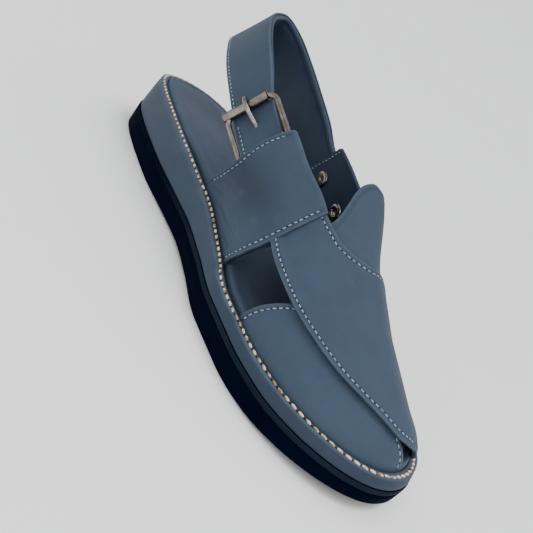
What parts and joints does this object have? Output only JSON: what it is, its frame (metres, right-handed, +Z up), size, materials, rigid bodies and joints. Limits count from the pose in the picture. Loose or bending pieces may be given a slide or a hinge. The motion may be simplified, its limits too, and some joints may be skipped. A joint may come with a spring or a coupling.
{
  "type": "peshawari chappal",
  "caption": "Right peshawari chappal with crossed leather straps, wrapped wedge sole on black rubber, padded footbed and a buckled heel strap.",
  "frame": {"origin": "middle of the flat spot under the heel, on the floor", "axes": "+X to the toe, +Y to the inner (medial) side of the foot, +Z up"},
  "size_m": [0.2817, 0.0941, 0.1014],
  "materials": {
    "outsole_rubber": "matt moulded rubber",
    "rand_leather": "matt nubuck",
    "midsole_core": "plain foam, hidden",
    "insole_leather": "smooth matt leather",
    "upper_leather": "matt nubuck",
    "strap_leather": "matt nubuck",
    "antique_nickel": "antique nickel, worn"
  },
  "bodies": {
    "root": {"outsole": "outsole_rubber", "rand": "rand_leather", "midsole": "midsole_core", "insole": "insole_leather", "upper": "upper_leather", "heel_strap": "strap_leather", "buckle_frame": "antique_nickel", "buckle_roller": "antique_nickel", "buckle_prong": "antique_nickel", "rivet_rear": "antique_nickel", "rivet_front": "antique_nickel"}
  },
  "joints": []
}
